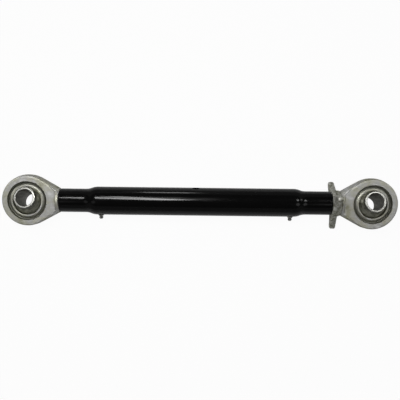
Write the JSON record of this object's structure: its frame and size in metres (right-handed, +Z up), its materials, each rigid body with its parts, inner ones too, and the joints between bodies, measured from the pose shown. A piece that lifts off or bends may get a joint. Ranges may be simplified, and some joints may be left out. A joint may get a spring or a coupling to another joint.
{
  "type": "tractor top link",
  "caption": "Threaded turnbuckle link: a painted swaged tube between forged eyes with swivel balls, a lugged lock nut, grease nipples and a cross hole.",
  "frame": {"origin": "middle of the left ball, on the axis of its pin bore", "axes": "+X along the link from the left ball to the right ball, +Z up along the left pin bore, away from the surface that the link lies on"},
  "size_m": [0.609, 0.0798, 0.068],
  "materials": {
    "black_paint": "gloss",
    "zinc_forging": "satin",
    "turned_steel": "satin",
    "zinc_casting": "satin",
    "nipple_steel": "satin",
    "check_ball_steel": "polished",
    "spring_steel": "satin"
  },
  "bodies": {
    "lock_nut": {"lock_nut": "zinc_casting"},
    "tube": {"tube": "black_paint", "left_nipple": "nipple_steel", "right_nipple": "nipple_steel", "left_nipple_spring": "spring_steel", "right_nipple_spring": "spring_steel"},
    "left_eye": {"left_eye": "zinc_forging"},
    "right_eye": {"right_eye": "zinc_forging"},
    "left_ball": {"left_ball": "turned_steel"},
    "right_ball": {"right_ball": "turned_steel"},
    "left_nipple_ball": {"left_nipple_ball": "check_ball_steel"},
    "right_nipple_ball": {"right_nipple_ball": "check_ball_steel"}
  },
  "joints": [
    {"name": "tube_turn", "type": "hinge", "parent": "lock_nut", "child": "tube", "pos_m": [0.25825, 0, 0], "axis": [1, 0, 0], "range_deg": [0, 14400]},
    {"name": "left_extend", "type": "slide", "parent": "lock_nut", "child": "left_eye", "axis": [-1, 0, 0], "range_m": [0, 0.12]},
    {"name": "right_extend", "type": "slide", "parent": "lock_nut", "child": "right_eye", "axis": [1, 0, 0], "range_m": [0, 0.12]},
    {"name": "left_swivel", "type": "hinge", "parent": "left_eye", "child": "left_ball", "pos_m": [0, 0, 0], "axis": [1, 0, 0], "range_deg": [-3.5, 32]},
    {"name": "right_swivel", "type": "hinge", "parent": "right_eye", "child": "right_ball", "pos_m": [0.53, 0, 0], "axis": [1, 0, 0], "range_deg": [-3.5, 32]},
    {"name": "left_check", "type": "slide", "parent": "tube", "child": "left_nipple_ball", "axis": [0, 0.9348, 0.3551], "range_m": [0, 0.0008], "stiffness_N_per_m": 500, "springref_m": -0.001, "deforming": ["left_nipple_spring"]},
    {"name": "right_check", "type": "slide", "parent": "tube", "child": "right_nipple_ball", "axis": [0, 0.9348, 0.3551], "range_m": [0, 0.0008], "stiffness_N_per_m": 500, "springref_m": -0.001, "deforming": ["right_nipple_spring"]}
  ],
  "couplings": [
    {"joint": "left_extend", "follows": "tube_turn", "m_per_rad": 0.00047746},
    {"joint": "right_extend", "follows": "tube_turn", "m_per_rad": 0.00047746}
  ]
}
